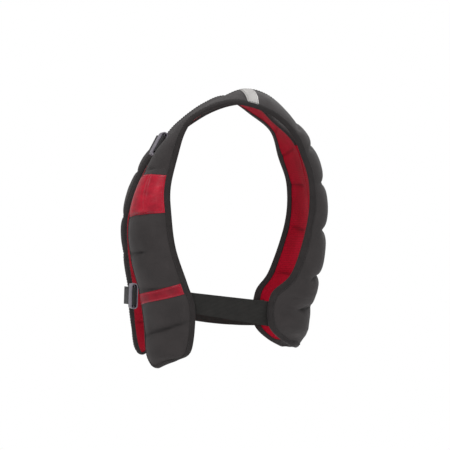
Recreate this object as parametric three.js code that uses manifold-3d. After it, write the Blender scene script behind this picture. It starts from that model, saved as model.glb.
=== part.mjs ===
// Adjustable weighted vest: two padded lobes joined down the spine and closed by two front buckles.
// Millimetres. +Z is up, the wearer faces -Y, and the wearer's left is +X.
import * as THREE from 'three';
import { mergeVertices } from 'three/addons/utils/BufferGeometryUtils.js';
import Module from 'manifold-3d';

const wasm = await Module();
wasm.setup();

// Height and depth of the shoulder rest above the front hem, which the vest hangs from.
const REST_HEIGHT = 455;
const REST_DEPTH = 20;

// Fabric layers, measured outwards from the face that lies against the wearer.
const LINING = 2.2;
const SHELL = 2.4;
const GAP = 0.3;
// The lobe's body face is crowned by this share of the cells' fullness.
const CROWN = 0.6;
const SEAM_DEPTH = 0.6;

// Stations of one lobe, from the front hem over the shoulder to the back hem.
// Each pairs a point of the neck and opening edge with a point of the side and armhole edge.
const STATIONS = [
  { inner: [64, -130, 5], outer: [97, -94, 23], fullness: 8 },
  { inner: [51, -141, 30], outer: [107, -77, 42], fullness: 13 },
  { inner: [43, -145, 90], outer: [108, -72, 108], fullness: 15 },
  { inner: [38, -152, 140], outer: [107, -84, 147], fullness: 15 },
  { inner: [36, -166, 200], outer: [104, -104, 208], fullness: 15 },
  { inner: [35, -167, 255], outer: [101, -111, 265], fullness: 15 },
  { inner: [35, -153, 303], outer: [100, -112, 310], fullness: 13 },
  { inner: [37, -130, 353], outer: [105, -101, 361], fullness: 9 },
  { inner: [45, -98, 396], outer: [111, -88, 404], fullness: 5 },
  { inner: [53, -67, 423], outer: [118, -67, 430], fullness: 4 },
  { inner: [59, -27, 451], outer: [124, -20, 449], fullness: 4 },
  { inner: [61, 20, 473], outer: [125, 20, 446], fullness: 4 },
  { inner: [59, 62, 462], outer: [117, 61, 430], fullness: 5 },
  { inner: [51, 93, 429], outer: [104, 94, 402], fullness: 7 },
  { inner: [18, 125, 389], outer: [96, 112, 368], fullness: 12 },
  { inner: [8, 144, 315], outer: [95, 127, 318], fullness: 15 },
  { inner: [8, 148, 250], outer: [96, 124, 252], fullness: 17 },
  { inner: [8, 143, 170], outer: [101, 97, 168], fullness: 20 },
  { inner: [8, 142, 128], outer: [104, 60, 130], fullness: 22 },
  { inner: [8, 131, 74], outer: [103, 57, 78], fullness: 19 },
  { inner: [14, 116, 40], outer: [72, 100, 40], fullness: 7 },
];

// Where the right lobe hangs a little differently from the left one. Its shoulder strap is flatter
// and tips its outer edge up.
const RIGHT_LOBE = {
  0: { inner: [62, -136, 22], outer: [97, -96, 36] },
  1: { inner: [51, -147, 42], outer: [107, -75, 56] },
  2: { inner: [44, -155, 95], outer: [108, -70, 112] },
  3: { inner: [38, -158, 141], outer: [107, -85, 148] },
  8: { inner: [45, -94, 391], outer: [111, -82, 400], fullness: 3.4 },
  9: { inner: [53, -54, 421], outer: [118, -57, 428], fullness: 2.4 },
  10: { inner: [59, -15, 444], outer: [122, -15, 458], fullness: 2.4 },
  11: { inner: [61, 24, 457], outer: [122, 24, 470], fullness: 2.4 },
  12: { inner: [59, 62, 458], outer: [116, 66, 443], fullness: 3.4 },
  13: { inner: [51, 93, 428], outer: [103, 99, 413] },
  18: { inner: [8, 142, 128], outer: [104, 72, 128] },
  19: { inner: [8, 131, 74], outer: [103, 71, 72] },
  20: { inner: [14, 116, 40], outer: [72, 108, 34] },
};
const LAST = STATIONS.length - 1;

// Quilting seams, as places along the stations. The shoulder pad lies between the two groups.
const FRONT_SEAMS = [0, 1.55, 3, 4, 5.1, 6.6, 7.9];
const BACK_SEAMS = [13.2, 14.05, 15, 16.1, 17.05, 18.35, LAST];
// Where the neck edge ends and the seam along the spine begins.
const NAPE = 14.05;
const ROWS_PER_CELL = 4;
const SHOULDER_ROWS = 8;
const COLUMNS = 6;

// The top and bottom edges of the side straps, as places along the stations where they are sewn.
const LEFT_STRAP = [{ front: 2.7, back: 18.22 }, { front: 1.85, back: 19.02 }];
const RIGHT_STRAP = [{ front: 2.5, back: 18.22 }, { front: 1.55, back: 19.02 }];

// Buckles: each housing hangs from the left lobe, and its tongue is webbed to the right one.
// edges are how far the left and right lobes' front edges stand from the buckle's own centre.
const BUCKLE_WIDTH = 44;
const BUCKLE_THICKNESS = 12;
const BUCKLE_WALL = 2;
const HOUSING_FROM = -6;
const HOUSING_TO = 24;
const TONGUE_FROM = -24;
const TONGUE_TO = -7;
const PRONG_TO = 7;
const WEBBING_WIDTH = 30;
const WEBBING = 1.5;
const BUCKLES = [
  { name: 'upper', at: [5, -118, 386], lean: -28, edges: [29.5, 39.5], tail: -28 },
  { name: 'lower', at: [5, -162, 127], lean: -2, edges: [27.2, 37.2], tail: -44 },
];

function material(colour, roughness, metalness = 0) {
  return new THREE.MeshStandardMaterial({ color: colour, roughness, metalness });
}

const shellFabric = material(0x423f40, 0.8);
const liningFabric = material(0x8c1226, 0.85);
const bindingFabric = material(0x2a2829, 0.75);
const bagFabric = material(0x55575a, 0.6);
const foam = material(0x3a3c3e, 0.95);
const glossRed = material(0xa8182f, 0.3);
const reflective = material(0xb6b3b0, 0.4);
const elastic = material(0x353433, 0.9);
const webbing = material(0x242426, 0.85);
const buckle = material(0x807a85, 0.35);

function piece(parent, name, geometry, mat) {
  const mesh = new THREE.Mesh(geometry, mat.clone());
  mesh.name = name;
  parent.add(mesh);
  return mesh;
}

function lobeShape(side, changes) {
  const stations = STATIONS.map((station, k) => ({ ...station, ...changes[k] }));
  const curve = (key) => {
    const points = stations.map((station) => new THREE.Vector3(...station[key]));
    return new THREE.CatmullRomCurve3(points, false, 'catmullrom', 0.5);
  };
  const fullness = stations.map((station) => station.fullness);
  return { side, inner: curve('inner'), outer: curve('outer'), fullness };
}

const LEFT = lobeShape(1, {});
const RIGHT = lobeShape(-1, RIGHT_LOBE);

function clamp(value, low, high) {
  return Math.min(Math.max(value, low), high);
}

// The face of a lobe that lies against the wearer, drawn on the wearer's left. across runs 0 to 1 from the inner edge to
// the outer edge, and along is counted in stations.
function bodyFace(lobe, across, along) {
  const t = clamp(along, 0, LAST) / LAST;
  const inner = lobe.inner.getPoint(t);
  const outer = lobe.outer.getPoint(t);
  const chord = outer.clone().sub(inner);
  const tangent = lobe.inner.getTangent(t).lerp(lobe.outer.getTangent(t), across);
  const away = chord.clone().cross(tangent).normalize();
  const crown = CROWN * fullness(lobe, clamp(along, 0, LAST)) * 4 * across * (1 - across);
  return inner.addScaledVector(chord, across).addScaledVector(away, crown);
}

function outward(lobe, across, along) {
  const step = 0.02;
  const s0 = clamp(across - step, 0, 1);
  const s1 = clamp(across + step, 0, 1);
  const u0 = clamp(along - step, 0, LAST);
  const u1 = clamp(along + step, 0, LAST);
  const acrossWay = bodyFace(lobe, s1, along).sub(bodyFace(lobe, s0, along));
  const alongWay = bodyFace(lobe, across, u1).sub(bodyFace(lobe, across, u0));
  return acrossWay.cross(alongWay).normalize();
}

function pointOn(lobe, across, along, height) {
  return bodyFace(lobe, across, along).addScaledVector(outward(lobe, across, along), height);
}

function fullness(lobe, along) {
  const k = Math.min(Math.floor(along), LAST - 1);
  const [a, b] = lobe.fullness.slice(k, k + 2);
  return a + (b - a) * (along - k);
}

// How far a cell swells between its two seams, from SEAM_DEPTH at a seam to 1 in the middle.
function swell(along) {
  const seams = [...FRONT_SEAMS, ...BACK_SEAMS];
  const k = clamp(seams.findIndex((seam) => seam > along) - 1, 0, seams.length - 2);
  const share = clamp((along - seams[k]) / (seams[k + 1] - seams[k]), 0, 1);
  const hem = Math.sqrt(clamp(Math.min(along, LAST - along) / 0.7, 0, 1));
  const round = Math.pow(Math.sin(Math.PI * share), 0.7);
  return hem * (SEAM_DEPTH + (1 - SEAM_DEPTH) * round);
}

function stuffing(lobe, across, along) {
  const round = Math.pow(Math.max(Math.sin(Math.PI * across), 0), 0.7);
  return fullness(lobe, along) * round * swell(along);
}

function shellInside(lobe, across, along) {
  return LINING + GAP + stuffing(lobe, across, along);
}

function shellOutside(lobe, across, along) {
  return shellInside(lobe, across, along) + SHELL;
}

// A closed solid between two grids of points of the same size, the first of them outermost.
function solidBetween(top, bottom, side) {
  const rows = top.length;
  const columns = top[0].length;
  const positions = [];
  const faces = [];
  const index = (layer, i, j) => (layer * rows + i) * columns + j;
  for (const layer of [top, bottom]) {
    for (const point of layer.flat()) positions.push(point.x * side, point.y, point.z);
  }
  const quad = (a, b, c, d) => {
    if (side > 0) faces.push(a, b, c, a, c, d);
    else faces.push(a, c, b, a, d, c);
  };
  for (let i = 0; i < rows - 1; i += 1) {
    for (let j = 0; j < columns - 1; j += 1) {
      quad(index(0, i, j), index(0, i, j + 1), index(0, i + 1, j + 1), index(0, i + 1, j));
      quad(index(1, i, j), index(1, i + 1, j), index(1, i + 1, j + 1), index(1, i, j + 1));
    }
  }
  for (let i = 0; i < rows - 1; i += 1) {
    const end = columns - 1;
    quad(index(0, i, 0), index(0, i + 1, 0), index(1, i + 1, 0), index(1, i, 0));
    quad(index(0, i + 1, end), index(0, i, end), index(1, i, end), index(1, i + 1, end));
  }
  for (let j = 0; j < columns - 1; j += 1) {
    const end = rows - 1;
    quad(index(0, 0, j + 1), index(0, 0, j), index(1, 0, j), index(1, 0, j + 1));
    quad(index(0, end, j), index(0, end, j + 1), index(1, end, j + 1), index(1, end, j));
  }
  const geometry = new THREE.BufferGeometry();
  geometry.setAttribute('position', new THREE.Float32BufferAttribute(positions, 3));
  geometry.setIndex(faces);
  geometry.computeVertexNormals();
  return geometry;
}

function spread(from, to, count) {
  return Array.from({ length: count + 1 }, (_, k) => from + ((to - from) * k) / count);
}

function rowsOfLobe() {
  const rows = [0];
  for (let k = 1; k < FRONT_SEAMS.length; k += 1) {
    rows.push(...spread(FRONT_SEAMS[k - 1], FRONT_SEAMS[k], ROWS_PER_CELL).slice(1));
  }
  rows.push(...spread(FRONT_SEAMS.at(-1), BACK_SEAMS[0], SHOULDER_ROWS).slice(1));
  for (let k = 1; k < BACK_SEAMS.length; k += 1) {
    rows.push(...spread(BACK_SEAMS[k - 1], BACK_SEAMS[k], ROWS_PER_CELL).slice(1));
  }
  return rows;
}

const LOBE_ROWS = rowsOfLobe();
const LOBE_COLUMNS = spread(0, 1, COLUMNS);

// A layer of the lobe between two heights over the body face.
function layer(lobe, rows, columns, low, high) {
  const grid = (height) => rows.map((u) => columns.map((s) => pointOn(lobe, s, u, height(lobe, s, u))));
  return solidBetween(grid(high), grid(low), lobe.side);
}

function shellGeometry(lobe) {
  return layer(lobe, LOBE_ROWS, LOBE_COLUMNS, shellInside, shellOutside);
}

function liningGeometry(lobe) {
  return layer(lobe, LOBE_ROWS, LOBE_COLUMNS, () => 0, () => LINING);
}

// A pillow of metal shot that fills one cell with a little room all round.
function bagGeometry(lobe, from, to) {
  const rows = [0.07, 0.25, 0.5, 0.75, 0.93].map((share) => from + (to - from) * share);
  const columns = spread(1 / COLUMNS, 1 - 1 / COLUMNS, COLUMNS - 2);
  const bottom = () => LINING + 3 * GAP;
  const top = (_, s, u) => {
    const share = Math.sin(Math.PI * clamp((u - from) / (to - from), 0, 1));
    const depth = Math.max(stuffing(lobe, s, u) - 2.4, 0.6);
    return bottom() + 0.8 + (depth - 0.6) * Math.pow(share, 0.6);
  };
  return layer(lobe, rows, columns, bottom, top);
}

function shoulderPadGeometry(lobe) {
  const rows = LOBE_ROWS.filter((u) => u > 8.8 && u < 12.4);
  const columns = spread(1 / COLUMNS, 1 - 1 / COLUMNS, COLUMNS - 2);
  const bottom = () => LINING + 2 * GAP;
  const top = (_, s, u) => bottom() + Math.max(stuffing(lobe, s, u) * 0.62 - 1, 0.5);
  return layer(lobe, rows, columns, bottom, top);
}

// A patch that lies on the outer shell. slant moves its outer end along the lobe.
function patchGeometry(lobe, from, to, slant, left, right, rowCount) {
  const rows = spread(from, to, rowCount);
  const columns = [left, ...LOBE_COLUMNS.filter((s) => s > left && s < right), right];
  const grid = (rise) =>
    rows.map((u) => columns.map((s) => {
      const along = u + slant * s;
      return pointOn(lobe, s, along, shellOutside(lobe, s, along) + rise);
    }));
  return solidBetween(grid(1.3), grid(0.45), lobe.side);
}

// The folded tape round the edge of the lobe, from the nape down the front, round the hem, up over
// the armhole and back to the spine. It is a run of five-sided sections with flat ends.
function bindingGeometry(lobe) {
  const edge = [];
  for (const u of LOBE_ROWS.filter((row) => row <= NAPE).reverse()) edge.push([0, u]);
  for (const s of LOBE_COLUMNS.slice(1)) edge.push([s, 0]);
  for (const u of LOBE_ROWS.slice(1)) edge.push([1, u]);
  for (const s of LOBE_COLUMNS.slice(0, -1).reverse()) edge.push([s, LAST]);
  const points = edge.map(([s, u]) => bodyFace(lobe, s, u));
  const normals = edge.map(([s, u]) => outward(lobe, s, u));
  const section = [[0.8, -0.8], [3, -0.3], [4, 2.4], [3, 5.2], [0.8, 5.7]];
  const last = points.length - 1;
  const sides = section.length;
  const positions = [];
  const faces = [];
  for (let k = 0; k <= last; k += 1) {
    const before = points[Math.max(k, 1)].clone().sub(points[Math.max(k, 1) - 1]).normalize();
    const next = Math.min(k, last - 1);
    const after = points[next + 1].clone().sub(points[next]).normalize();
    const a = before.cross(normals[k]).normalize();
    const b = after.cross(normals[k]).normalize();
    const out = a.clone().add(b).divideScalar(1 + a.dot(b));
    for (const [wide, high] of section) {
      const p = points[k].clone().addScaledVector(out, wide).addScaledVector(normals[k], high);
      positions.push(p.x * lobe.side, p.y, p.z);
    }
  }
  const add = (corners) => {
    const [a, b, c] = lobe.side > 0 ? corners : [...corners].reverse();
    faces.push(a, b, c);
  };
  for (let k = 0; k < last; k += 1) {
    for (let m = 0; m < sides; m += 1) {
      const q = (m + 1) % sides;
      add([k * sides + m, (k + 1) * sides + m, (k + 1) * sides + q]);
      add([k * sides + m, (k + 1) * sides + q, k * sides + q]);
    }
  }
  for (let m = 1; m < sides - 1; m += 1) {
    add([0, m, m + 1]);
    add([last * sides, last * sides + m + 1, last * sides + m]);
  }
  const geometry = new THREE.BufferGeometry();
  geometry.setAttribute('position', new THREE.Float32BufferAttribute(positions, 3));
  geometry.setIndex(faces);
  geometry.computeVertexNormals();
  return geometry;
}

// The stretch strap at the waist. Its ends are tucked behind the front and back of the lobe.
function sideStrapGeometry(lobe, edges, sag) {
  const away = new THREE.Vector3(1, 0, 0);
  const line = (edge, height) => {
    const start = [0.84, 0.92, 1].map((s) => pointOn(lobe, s, edge.front, height));
    const end = [1, 0.92, 0.84].map((s) => pointOn(lobe, s, edge.back, height));
    const span = [0.06, 0.3, 0.55, 0.8, 0.94].map((share) => {
      const bow = 4 * share * (1 - share);
      const p = start[2].clone().lerp(end[0], share).addScaledVector(away, 5 * bow);
      p.z -= sag * bow;
      return p;
    });
    return [...start, ...span, ...end];
  };
  const top = edges.map((edge) => line(edge, -1.7)).reverse();
  const bottom = edges.map((edge) => line(edge, -3.3)).reverse();
  return solidBetween(top, bottom, lobe.side);
}

// A strip of fabric down the spine between the two lobes.
function spineGeometry(low, high) {
  const grid = (height) =>
    spread(NAPE + 0.05, LAST - 0.1, 16).map((along) => {
      const edge = LEFT.inner.getPoint(along / LAST);
      const half = Math.min(edge.x - 1.4, 6.6);
      return [-half, 0, half].map((x) => new THREE.Vector3(x, edge.y + height, edge.z));
    });
  return solidBetween(grid(high), grid(low), 1);
}

function toManifold(geometry) {
  const plain = new THREE.BufferGeometry();
  plain.setAttribute('position', geometry.getAttribute('position'));
  if (geometry.index) plain.setIndex(geometry.index);
  const merged = mergeVertices(plain, 1e-3);
  const vertProperties = new Float32Array(merged.getAttribute('position').array);
  const triVerts = new Uint32Array(merged.index.array);
  return new wasm.Manifold(new wasm.Mesh({ numProp: 3, vertProperties, triVerts }));
}

function toGeometry(solid) {
  const mesh = solid.getMesh();
  const geometry = new THREE.BufferGeometry();
  const positions = new THREE.BufferAttribute(new Float32Array(mesh.vertProperties), 3);
  geometry.setAttribute('position', positions);
  geometry.setIndex(new THREE.BufferAttribute(new Uint32Array(mesh.triVerts), 1));
  geometry.computeVertexNormals();
  return geometry;
}

function block(x0, x1, y0, y1, z0, z1) {
  const geometry = new THREE.BoxGeometry(x1 - x0, y1 - y0, z1 - z0);
  return geometry.translate((x0 + x1) / 2, (y0 + y1) / 2, (z0 + z1) / 2);
}

// An outline with round ends: wide along the first axis and thick along the second.
function roundEnded(target, wide, thick, centre = 0) {
  const r = thick / 2;
  const reach = wide / 2 - r;
  target.absarc(centre + reach, 0, r, -Math.PI / 2, Math.PI / 2, false);
  target.absarc(centre - reach, 0, r, Math.PI / 2, (3 * Math.PI) / 2, false);
  target.closePath();
  return target;
}

// A flat plate in the plane of the buckle, drawn as (length, width) and centred in its thickness.
function plate(shape, thick) {
  const geometry = new THREE.ExtrudeGeometry(shape, { depth: thick, bevelEnabled: false, curveSegments: 4 });
  return geometry.rotateX(Math.PI / 2).translate(0, thick / 2, 0);
}

function outline(points) {
  return new THREE.Shape(points.map(([x, y]) => new THREE.Vector2(x, y)));
}

function housingGeometry() {
  const shape = roundEnded(new THREE.Shape(), BUCKLE_WIDTH, BUCKLE_THICKNESS);
  const inside = [BUCKLE_WIDTH - 2 * BUCKLE_WALL, BUCKLE_THICKNESS - 2 * BUCKLE_WALL];
  shape.holes.push(roundEnded(new THREE.Path(), ...inside));
  const depth = HOUSING_TO - HOUSING_FROM;
  const tube = new THREE.ExtrudeGeometry(shape, { depth, bevelEnabled: false, curveSegments: 5 });
  tube.rotateY(Math.PI / 2).translate(HOUSING_FROM, 0, 0);
  const bar = new THREE.CylinderGeometry(1.6, 1.6, BUCKLE_WIDTH - 2, 10);
  bar.rotateX(Math.PI / 2).translate(HOUSING_TO - 4, 0, 0);
  const windows = [-1, 1].map((way) => toManifold(
    block(-2, 6, -2.8, 2.8, Math.min(way * 17, way * 24), Math.max(way * 17, way * 24)),
  ));
  return toGeometry(toManifold(tube).subtract(windows[0]).subtract(windows[1]).add(toManifold(bar)));
}

function tongueGeometry() {
  const half = BUCKLE_WIDTH / 2 - 1;
  const base = outline([
    [TONGUE_FROM + 3, -half], [TONGUE_TO, -half], [TONGUE_TO, half], [TONGUE_FROM + 3, half],
    [TONGUE_FROM, half - 3], [TONGUE_FROM, 3 - half],
  ]);
  const reach = WEBBING_WIDTH / 2 + 0.8;
  const slots = [TONGUE_FROM + 2.2, TONGUE_FROM + 8.6].map((x) => toManifold(
    block(x, x + 2.6, -5, 5, -reach, reach),
  ));
  const prong = toManifold(block(TONGUE_TO - 1, PRONG_TO, -2.2, 2.2, -4, 4));
  return toGeometry(toManifold(plate(base, 7)).subtract(slots[0]).subtract(slots[1]).add(prong));
}

// One spring arm of the tongue. Its barb stands in the housing's side window.
function armGeometry(way) {
  const from = TONGUE_TO + GAP;
  const points = [
    [from, 9], [5.4, 14.6], [5.4, 19.4], [3.6, 21.2], [-1.2, 21.2], [-1.2, 17.6], [from, 14],
  ];
  const arm = plate(outline(points), 4.4);
  return way > 0 ? arm : arm.rotateX(Math.PI);
}

// Webbing sewn to the left lobe and looped round the housing's bar.
function loopGeometry(edge) {
  const bar = HOUSING_TO - 4;
  const end = edge - 3.4;
  const centre = (bar + end) / 2;
  const shape = roundEnded(new THREE.Shape(), end - bar + 6.8, 6.8, centre);
  shape.holes.push(roundEnded(new THREE.Path(), end - bar + 3.8, 3.8, centre));
  const flat = { depth: WEBBING_WIDTH, bevelEnabled: false, curveSegments: 4 };
  return new THREE.ExtrudeGeometry(shape, flat).translate(0, 0, -WEBBING_WIDTH / 2);
}

// Webbing that runs behind the tongue, up through its front slot and back over its bar.
function tailGeometry(tail) {
  const front = TONGUE_FROM + 8.6 + 0.55;
  const lift = 0.16 * (TONGUE_FROM - tail);
  const shape = outline([
    [TONGUE_FROM, 4], [front, 4], [front, -4], [TONGUE_FROM, -4], [tail, -4 - lift],
    [tail, -4 - WEBBING - lift], [TONGUE_FROM, -4 - WEBBING], [front + WEBBING, -4 - WEBBING],
    [front + WEBBING, 4 + WEBBING], [TONGUE_FROM, 4 + WEBBING],
  ]);
  const flat = { depth: WEBBING_WIDTH, bevelEnabled: false };
  return new THREE.ExtrudeGeometry(shape, flat).translate(0, 0, -WEBBING_WIDTH / 2);
}

function strapGeometry(edge) {
  return block(-edge, TONGUE_FROM - GAP, 4, 4 + WEBBING, -WEBBING_WIDTH / 2, WEBBING_WIDTH / 2);
}

function buildLobe(parent, sideName, shape) {
  const lobe = new THREE.Group();
  lobe.name = `${sideName}_lobe`;
  parent.add(lobe);
  const add = (name, geometry, mat) => piece(lobe, `${name}_${sideName}`, geometry, mat);
  add('outer_shell', shellGeometry(shape), shellFabric);
  add('lining', liningGeometry(shape), liningFabric);
  add('edge_binding', bindingGeometry(shape), bindingFabric);
  FRONT_SEAMS.slice(1).forEach((seam, k) => {
    add(`weight_bag_front_${k + 1}`, bagGeometry(shape, FRONT_SEAMS[k], seam), bagFabric);
  });
  BACK_SEAMS.slice(1).forEach((seam, k) => {
    add(`weight_bag_back_${k + 1}`, bagGeometry(shape, BACK_SEAMS[k], seam), bagFabric);
  });
  add('shoulder_pad', shoulderPadGeometry(shape), foam);
  add('reflective_strip', patchGeometry(shape, 10.86, 11.3, 0, 0.03, 0.97, 3), reflective);
  add('lower_patch', patchGeometry(shape, 2.45, 2.83, 0.28, 0.05, 0.93, 4), glossRed);
  return lobe;
}

function buildBuckle(parent, spec) {
  const frame = new THREE.Group();
  frame.name = `${spec.name}_buckle`;
  frame.position.set(...spec.at);
  frame.rotation.x = THREE.MathUtils.degToRad(spec.lean);
  parent.add(frame);
  piece(frame, `${spec.name}_buckle_housing`, housingGeometry(), buckle);
  piece(frame, `${spec.name}_buckle_tongue`, tongueGeometry(), buckle);
  piece(frame, `${spec.name}_buckle_arm_top`, armGeometry(1), buckle);
  piece(frame, `${spec.name}_buckle_arm_bottom`, armGeometry(-1), buckle);
  piece(frame, `${spec.name}_webbing_loop`, loopGeometry(spec.edges[0]), webbing);
  piece(frame, `${spec.name}_webbing_tail`, tailGeometry(spec.tail), webbing);
  piece(frame, `${spec.name}_webbing_strap`, strapGeometry(spec.edges[1]), webbing);
}

const group = new THREE.Group();
group.name = 'weighted_vest';
const vest = new THREE.Group();
vest.name = 'vest';
vest.position.set(0, -REST_DEPTH, -REST_HEIGHT);
group.add(vest);

const leftLobe = buildLobe(vest, 'left', LEFT);
const rightLobe = buildLobe(vest, 'right', RIGHT);
piece(leftLobe, 'chest_band_left', patchGeometry(LEFT, 5.08, 6.4, 0, 0.05, 0.93, 8), glossRed);
piece(leftLobe, 'side_strap_left', sideStrapGeometry(LEFT, LEFT_STRAP, 0), elastic);
piece(rightLobe, 'side_strap_right', sideStrapGeometry(RIGHT, RIGHT_STRAP, 4), elastic);
BUCKLES.forEach((spec) => buildBuckle(vest, spec));
piece(vest, 'spine_shell', spineGeometry(LINING + GAP, LINING + GAP + SHELL), shellFabric);
piece(vest, 'spine_lining', spineGeometry(0, LINING), liningFabric);

export default group;
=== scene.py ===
import math
import bpy
import numpy as np
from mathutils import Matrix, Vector


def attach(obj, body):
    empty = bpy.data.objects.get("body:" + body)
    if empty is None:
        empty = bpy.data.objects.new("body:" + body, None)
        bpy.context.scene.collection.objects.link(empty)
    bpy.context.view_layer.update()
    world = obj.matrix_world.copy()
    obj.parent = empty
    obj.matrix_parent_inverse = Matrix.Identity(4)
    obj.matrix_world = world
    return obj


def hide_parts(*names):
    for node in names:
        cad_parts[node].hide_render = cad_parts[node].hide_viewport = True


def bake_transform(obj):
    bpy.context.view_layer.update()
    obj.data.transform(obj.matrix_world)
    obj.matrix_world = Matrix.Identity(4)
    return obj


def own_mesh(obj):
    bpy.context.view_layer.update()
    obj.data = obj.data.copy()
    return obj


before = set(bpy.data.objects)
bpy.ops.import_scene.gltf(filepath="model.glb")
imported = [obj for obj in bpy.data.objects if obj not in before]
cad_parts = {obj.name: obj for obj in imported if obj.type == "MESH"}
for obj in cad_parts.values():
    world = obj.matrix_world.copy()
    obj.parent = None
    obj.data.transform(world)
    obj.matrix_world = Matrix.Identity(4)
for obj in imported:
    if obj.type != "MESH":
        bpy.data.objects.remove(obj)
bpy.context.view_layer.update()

# ---------------------------------------------------------------------------------------------------
# Camera, lights and floor
# ---------------------------------------------------------------------------------------------------


def new_object(name, data):
    made = bpy.data.objects.new(name, data)
    bpy.context.scene.collection.objects.link(made)
    return made


def aim(obj, target):
    direction = Vector(target) - obj.location
    obj.rotation_mode = "QUATERNION"
    obj.rotation_quaternion = direction.to_track_quat("-Z", "Y")


TARGET = Vector((-0.0036, -0.0203, -0.2072))
VIEW_AZIMUTH = math.radians(80)
VIEW_DISTANCE = 4.5
VIEW_WIDTH = 0.774
SKY_LIGHT = 0.42


def add_camera():
    data = bpy.data.cameras.new("camera")
    data.sensor_width = 36
    data.lens = 36 * VIEW_DISTANCE / VIEW_WIDTH
    data.clip_end = 50
    camera = new_object("camera", data)
    back = Vector((math.sin(VIEW_AZIMUTH), -math.cos(VIEW_AZIMUTH), 0))
    camera.location = TARGET + back * VIEW_DISTANCE
    aim(camera, TARGET)
    bpy.context.scene.camera = camera


def add_light(name, place, size, power):
    data = bpy.data.lights.new(name, "AREA")
    data.shape = "DISK"
    data.size = size
    data.energy = power
    lamp = new_object(name, data)
    lamp.location = place
    aim(lamp, TARGET)


def add_stage():
    add_light("key_light", (1.7, -1.5, 1.5), 1.2, 26)
    add_light("fill_light", (1.6, 2.2, 0.5), 1.6, 11)
    add_light("back_light", (-1.8, 1.4, 1.4), 1.4, 24)
    add_light("top_light", (0.0, 0.0, 2.0), 1.2, 14)
    world = bpy.data.worlds.new("studio")
    world.use_nodes = True
    sky = world.node_tree.nodes["Background"]
    sky.inputs["Color"].default_value = (1, 1, 1, 1)
    seen = world.node_tree.nodes.new("ShaderNodeLightPath")
    strength = world.node_tree.nodes.new("ShaderNodeMapRange")
    strength.inputs["To Min"].default_value = SKY_LIGHT
    strength.inputs["To Max"].default_value = 1.0
    world.node_tree.links.new(seen.outputs["Is Camera Ray"], strength.inputs["Value"])
    world.node_tree.links.new(strength.outputs["Result"], sky.inputs["Strength"])
    bpy.context.scene.world = world
    bpy.context.scene.view_settings.view_transform = "Standard"
    angles = np.linspace(0, 2 * math.pi, 97)[:-1]
    rim = [(2.4 * math.cos(a), 2.4 * math.sin(a), -0.83) for a in angles]
    mesh = bpy.data.meshes.new("floor")
    mesh.from_pydata(rim, [], [list(range(len(rim)))])
    floor = new_object("floor", mesh)
    tone = bpy.data.materials.new("floor_paint")
    tone.use_nodes = True
    shader = tone.node_tree.nodes["Principled BSDF"]
    shader.inputs["Base Color"].default_value = (0.9, 0.9, 0.9, 1)
    shader.inputs["Roughness"].default_value = 0.9
    mesh.materials.append(tone)


# ---------------------------------------------------------------------------------------------------
# Materials
# ---------------------------------------------------------------------------------------------------


def linear(red, green, blue):
    """The shader's colour for a display colour given as 0 to 255."""
    out = []
    for value in (red, green, blue):
        c = value / 255
        out.append(c / 12.92 if c <= 0.04045 else ((c + 0.055) / 1.055) ** 2.4)
    return (*out, 1)


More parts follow.
